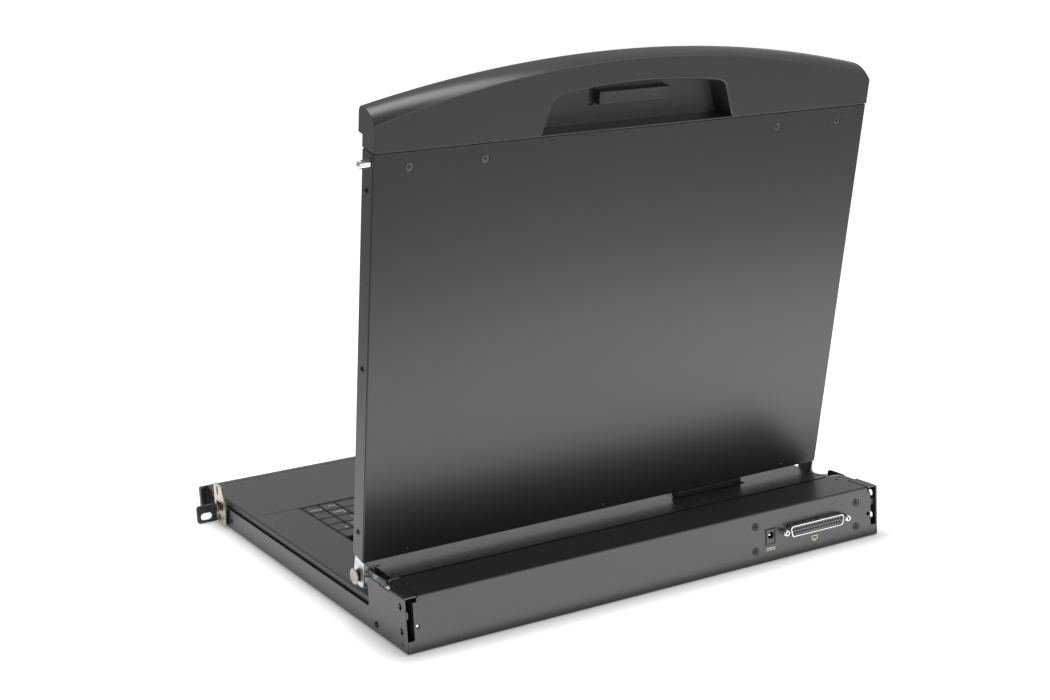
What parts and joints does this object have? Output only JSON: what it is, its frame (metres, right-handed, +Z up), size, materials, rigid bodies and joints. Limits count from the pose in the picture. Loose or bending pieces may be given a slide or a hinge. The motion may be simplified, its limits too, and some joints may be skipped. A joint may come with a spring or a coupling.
{
  "type": "rack console drawer",
  "caption": "One-unit 19-inch rack console drawer with a sliding keyboard tray and a hinged lid that holds a flat display; rear panel with a power inlet and a D-shaped port.",
  "frame": {"origin": "on the underside of the chassis, on its centre plane and 200 mm in front of its rear face", "axes": "+X to the right of a person seated at the open drawer, -Y toward that person and out of the rack, +Z up"},
  "size_m": [0.4826, 0.4429, 0.4195],
  "materials": {
    "black_steel": "satin powder coat",
    "zinc": "bright zinc plate",
    "brass_zinc": "yellow passivated",
    "nickel": "nickel plate",
    "black_plastic": "fine matt",
    "grey_plastic": "fine matt",
    "satin_plastic": "satin",
    "dark_insert": "matt",
    "key_black": "fine matt",
    "touch_grey": "fine matt",
    "cream_nylon": "moulded nylon",
    "panel_black": "black",
    "screen_glass": "clear, low reflection",
    "board_green": "solder mask over glass fibre"
  },
  "bodies": {
    "chassis": {"chassis_pan": "black_steel", "rear_housing": "black_steel", "dc_inlet_body": "black_plastic", "dc_inlet_pin": "nickel", "rear_port_shell": "nickel", "rear_port_insert": "dark_insert", "rear_port_jackscrew_a": "nickel", "rear_port_jackscrew_b": "nickel", "interface_board": "board_green", "front_bracket_left": "zinc", "front_bracket_right": "zinc", "rack_ear_left": "black_steel", "rack_ear_right": "black_steel", "slide_outer_left": "zinc", "slide_outer_right": "zinc"},
    "slide_carriage": {"slide_middle_left": "zinc", "slide_middle_right": "zinc"},
    "tray": {"slide_inner_left": "zinc", "slide_inner_right": "zinc", "tray_pan": "black_steel", "keyboard_deck": "black_steel", "hinge_cover": "black_steel", "tray_front_bezel": "grey_plastic", "keyboard_base": "key_black", "touchpad": "touch_grey", "hinge_base_left": "zinc", "hinge_base_right": "zinc", "hinge_pin_left": "brass_zinc", "hinge_pin_right": "brass_zinc", "friction_nut_left": "cream_nylon", "friction_nut_right": "cream_nylon"},
    "lid": {"lid_shell": "black_steel", "lid_bezel": "grey_plastic", "display_panel": "panel_black", "display_glass": "screen_glass", "display_board": "board_green", "lid_handle": "satin_plastic", "hinge_arm_left": "zinc", "hinge_arm_right": "zinc", "cable_shroud": "black_plastic"},
    "latch_bar": {"latch_bar": "black_plastic"},
    "latch_pin": {"latch_pin": "nickel"},
    "keys_bottom_left": {"keys_bottom_left": "key_black"},
    "keys_space": {"keys_space": "key_black"},
    "keys_bottom_right": {"keys_bottom_right": "key_black"},
    "keys_shift_row": {"keys_shift_row": "key_black"},
    "keys_home_row": {"keys_home_row": "key_black"},
    "keys_upper_row": {"keys_upper_row": "key_black"},
    "keys_number_row": {"keys_number_row": "key_black"},
    "keys_function_row": {"keys_function_row": "key_black"},
    "keys_arrows": {"keys_arrows": "key_black"},
    "keys_edit_block": {"keys_edit_block": "key_black"},
    "keys_pad_front": {"keys_pad_front": "key_black"},
    "keys_pad_rear": {"keys_pad_rear": "key_black"},
    "touchpad_button_left": {"touchpad_button_left": "touch_grey"},
    "touchpad_button_right": {"touchpad_button_right": "touch_grey"},
    "display_key_1": {"display_key_1": "touch_grey"},
    "display_key_2": {"display_key_2": "touch_grey"},
    "display_key_3": {"display_key_3": "touch_grey"}
  },
  "joints": [
    {"name": "tray_slide", "type": "slide", "parent": "chassis", "child": "tray", "axis": [0, -1, 0], "range_m": [0, 0.3]},
    {"name": "carriage_slide", "type": "slide", "parent": "chassis", "child": "slide_carriage", "axis": [0, -1, 0], "range_m": [0, 0.15]},
    {"name": "lid_hinge", "type": "hinge", "parent": "tray", "child": "lid", "pos_m": [0, 0.1102, 0.0345], "axis": [1, 0, 0], "range_deg": [-10, 102.7]},
    {"name": "latch_bar_slide", "type": "slide", "parent": "lid", "child": "latch_bar", "axis": [0, 0.2198, 0.9755], "range_m": [0, 0.005], "stiffness_N_per_m": 500, "springref_m": -0.003},
    {"name": "latch_pin_slide", "type": "slide", "parent": "lid", "child": "latch_pin", "axis": [-1, 0, 0], "range_m": [0, 0.01]},
    {"name": "keys_bottom_left_press", "type": "slide", "parent": "tray", "child": "keys_bottom_left", "axis": [0, 0, -1], "range_m": [0, 0.0025], "stiffness_N_per_m": 400, "springref_m": -0.0008},
    {"name": "keys_space_press", "type": "slide", "parent": "tray", "child": "keys_space", "axis": [0, 0, -1], "range_m": [0, 0.0025], "stiffness_N_per_m": 400, "springref_m": -0.0008},
    {"name": "keys_bottom_right_press", "type": "slide", "parent": "tray", "child": "keys_bottom_right", "axis": [0, 0, -1], "range_m": [0, 0.0025], "stiffness_N_per_m": 400, "springref_m": -0.0008},
    {"name": "keys_shift_row_press", "type": "slide", "parent": "tray", "child": "keys_shift_row", "axis": [0, 0, -1], "range_m": [0, 0.0025], "stiffness_N_per_m": 400, "springref_m": -0.0008},
    {"name": "keys_home_row_press", "type": "slide", "parent": "tray", "child": "keys_home_row", "axis": [0, 0, -1], "range_m": [0, 0.0025], "stiffness_N_per_m": 400, "springref_m": -0.0008},
    {"name": "keys_upper_row_press", "type": "slide", "parent": "tray", "child": "keys_upper_row", "axis": [0, 0, -1], "range_m": [0, 0.0025], "stiffness_N_per_m": 400, "springref_m": -0.0008},
    {"name": "keys_number_row_press", "type": "slide", "parent": "tray", "child": "keys_number_row", "axis": [0, 0, -1], "range_m": [0, 0.0025], "stiffness_N_per_m": 400, "springref_m": -0.0008},
    {"name": "keys_function_row_press", "type": "slide", "parent": "tray", "child": "keys_function_row", "axis": [0, 0, -1], "range_m": [0, 0.0025], "stiffness_N_per_m": 400, "springref_m": -0.0008},
    {"name": "keys_arrows_press", "type": "slide", "parent": "tray", "child": "keys_arrows", "axis": [0, 0, -1], "range_m": [0, 0.0025], "stiffness_N_per_m": 400, "springref_m": -0.0008},
    {"name": "keys_edit_block_press", "type": "slide", "parent": "tray", "child": "keys_edit_block", "axis": [0, 0, -1], "range_m": [0, 0.0025], "stiffness_N_per_m": 400, "springref_m": -0.0008},
    {"name": "keys_pad_front_press", "type": "slide", "parent": "tray", "child": "keys_pad_front", "axis": [0, 0, -1], "range_m": [0, 0.0025], "stiffness_N_per_m": 400, "springref_m": -0.0008},
    {"name": "keys_pad_rear_press", "type": "slide", "parent": "tray", "child": "keys_pad_rear", "axis": [0, 0, -1], "range_m": [0, 0.0025], "stiffness_N_per_m": 400, "springref_m": -0.0008},
    {"name": "touchpad_button_left_press", "type": "slide", "parent": "tray", "child": "touchpad_button_left", "axis": [0, 0, -1], "range_m": [0, 0.001], "stiffness_N_per_m": 600, "springref_m": -0.0008},
    {"name": "touchpad_button_right_press", "type": "slide", "parent": "tray", "child": "touchpad_button_right", "axis": [0, 0, -1], "range_m": [0, 0.001], "stiffness_N_per_m": 600, "springref_m": -0.0008},
    {"name": "display_key_1_press", "type": "slide", "parent": "lid", "child": "display_key_1", "axis": [0, 0.9755, -0.2198], "range_m": [0, 0.0008], "stiffness_N_per_m": 500, "springref_m": -0.0005},
    {"name": "display_key_2_press", "type": "slide", "parent": "lid", "child": "display_key_2", "axis": [0, 0.9755, -0.2198], "range_m": [0, 0.0008], "stiffness_N_per_m": 500, "springref_m": -0.0005},
    {"name": "display_key_3_press", "type": "slide", "parent": "lid", "child": "display_key_3", "axis": [0, 0.9755, -0.2198], "range_m": [0, 0.0008], "stiffness_N_per_m": 500, "springref_m": -0.0005}
  ],
  "couplings": [
    {"joint": "carriage_slide", "follows": "tray_slide", "ratio": 0.5},
    {"joint": "latch_pin_slide", "follows": "latch_bar_slide", "ratio": 2}
  ]
}
